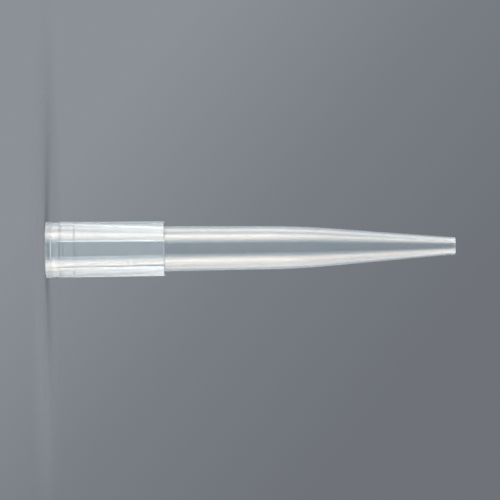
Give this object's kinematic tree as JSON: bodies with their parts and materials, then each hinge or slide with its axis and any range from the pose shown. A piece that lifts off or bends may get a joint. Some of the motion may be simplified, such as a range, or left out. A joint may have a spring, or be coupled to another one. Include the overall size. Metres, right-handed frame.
{
  "type": "pipette tip",
  "caption": "Translucent moulded tip with a ribbed, stepped socket at the wide end, a rack shoulder, a straight barrel and a long tapered nozzle.",
  "frame": {"origin": "centre of the mouth's flat face, on the plane the tip stands on", "axes": "+Z along the tip's axis, from the wide mouth up to the nozzle's orifice; X and Y across it"},
  "size_m": [0.0166, 0.0166, 0.12],
  "materials": {
    "polypropylene": "natural translucent polypropylene, satin, slightly hazy"
  },
  "bodies": {
    "root": {"pipette_tip": "polypropylene"}
  },
  "joints": []
}
